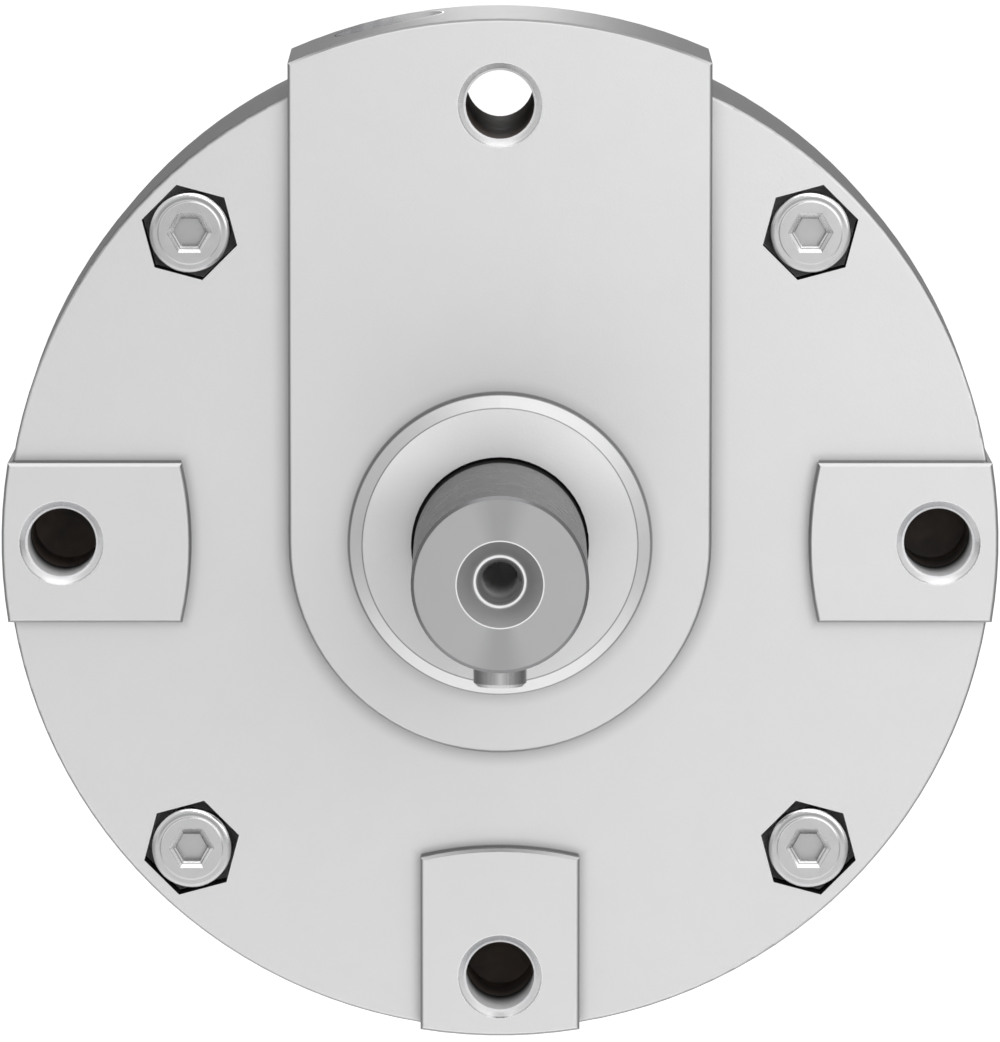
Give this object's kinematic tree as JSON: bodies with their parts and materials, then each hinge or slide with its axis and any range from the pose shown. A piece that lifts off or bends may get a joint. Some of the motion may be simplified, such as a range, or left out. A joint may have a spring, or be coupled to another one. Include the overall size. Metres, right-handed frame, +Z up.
{
  "type": "rotary pneumatic actuator",
  "caption": "Round flat-cased rotary vane air actuator with a keyed output shaft, bolted half shells, front mounting pads and top air ports.",
  "frame": {"origin": "on the shaft axis in the plane of the front mounting pads", "axes": "-Y out of the front along the output shaft, +Z up towards the air ports, +X right seen from the front"},
  "size_m": [0.116, 0.0984, 0.1195],
  "materials": {
    "cast_aluminium": "fine cast and blasted, matt",
    "turned_steel": "turned end face, ground outside",
    "key_steel": "bright drawn",
    "zinc_steel": "zinc plated",
    "black_steel": "black oxide",
    "ground_steel": "ground",
    "bearing_steel": "polished",
    "cage_brass": "machined",
    "seal_rubber": "smooth black",
    "cushion_rubber": "moulded",
    "stator_polymer": "glass-filled moulding",
    "vane_aluminium": "machined"
  },
  "bodies": {
    "housing": {"front_housing": "cast_aluminium", "rear_housing": "cast_aluminium", "housing_seal": "seal_rubber", "housing_screws": "zinc_steel", "housing_nuts": "zinc_steel", "top_mount_sleeve": "black_steel", "mount_bushes": "black_steel", "stator": "stator_polymer", "stator_seal": "seal_rubber", "stator_pins": "ground_steel", "stop_cushion_left": "cushion_rubber", "stop_cushion_right": "cushion_rubber", "front_bearing_outer_ring": "bearing_steel", "rear_bearing_outer_ring": "bearing_steel", "front_shaft_seal": "seal_rubber", "rear_shaft_seal": "seal_rubber"},
    "rotor": {"output_shaft": "turned_steel", "shaft_key": "key_steel", "vane_rotor": "vane_aluminium", "vane_seal": "seal_rubber", "rotor_drive_pins": "ground_steel", "front_wear_sleeve": "ground_steel", "rear_wear_sleeve": "ground_steel", "front_bearing_inner_ring": "bearing_steel", "rear_bearing_inner_ring": "bearing_steel"},
    "front_cage": {"front_bearing_cage": "cage_brass", "front_bearing_balls": "bearing_steel"},
    "rear_cage": {"rear_bearing_cage": "cage_brass", "rear_bearing_balls": "bearing_steel"}
  },
  "joints": [
    {"name": "swing", "type": "hinge", "parent": "housing", "child": "rotor", "pos_m": [0, 0, 0], "axis": [0, 1, 0], "range_deg": [-135, 135]},
    {"name": "front_cage_turn", "type": "hinge", "parent": "housing", "child": "front_cage", "pos_m": [0, 0, 0], "axis": [0, 1, 0], "range_deg": [-60, 60]},
    {"name": "rear_cage_turn", "type": "hinge", "parent": "housing", "child": "rear_cage", "pos_m": [0, 0, 0], "axis": [0, 1, 0], "range_deg": [-60, 60]}
  ],
  "couplings": [
    {"joint": "front_cage_turn", "follows": "swing", "ratio": 0.4327},
    {"joint": "rear_cage_turn", "follows": "swing", "ratio": 0.4327}
  ]
}
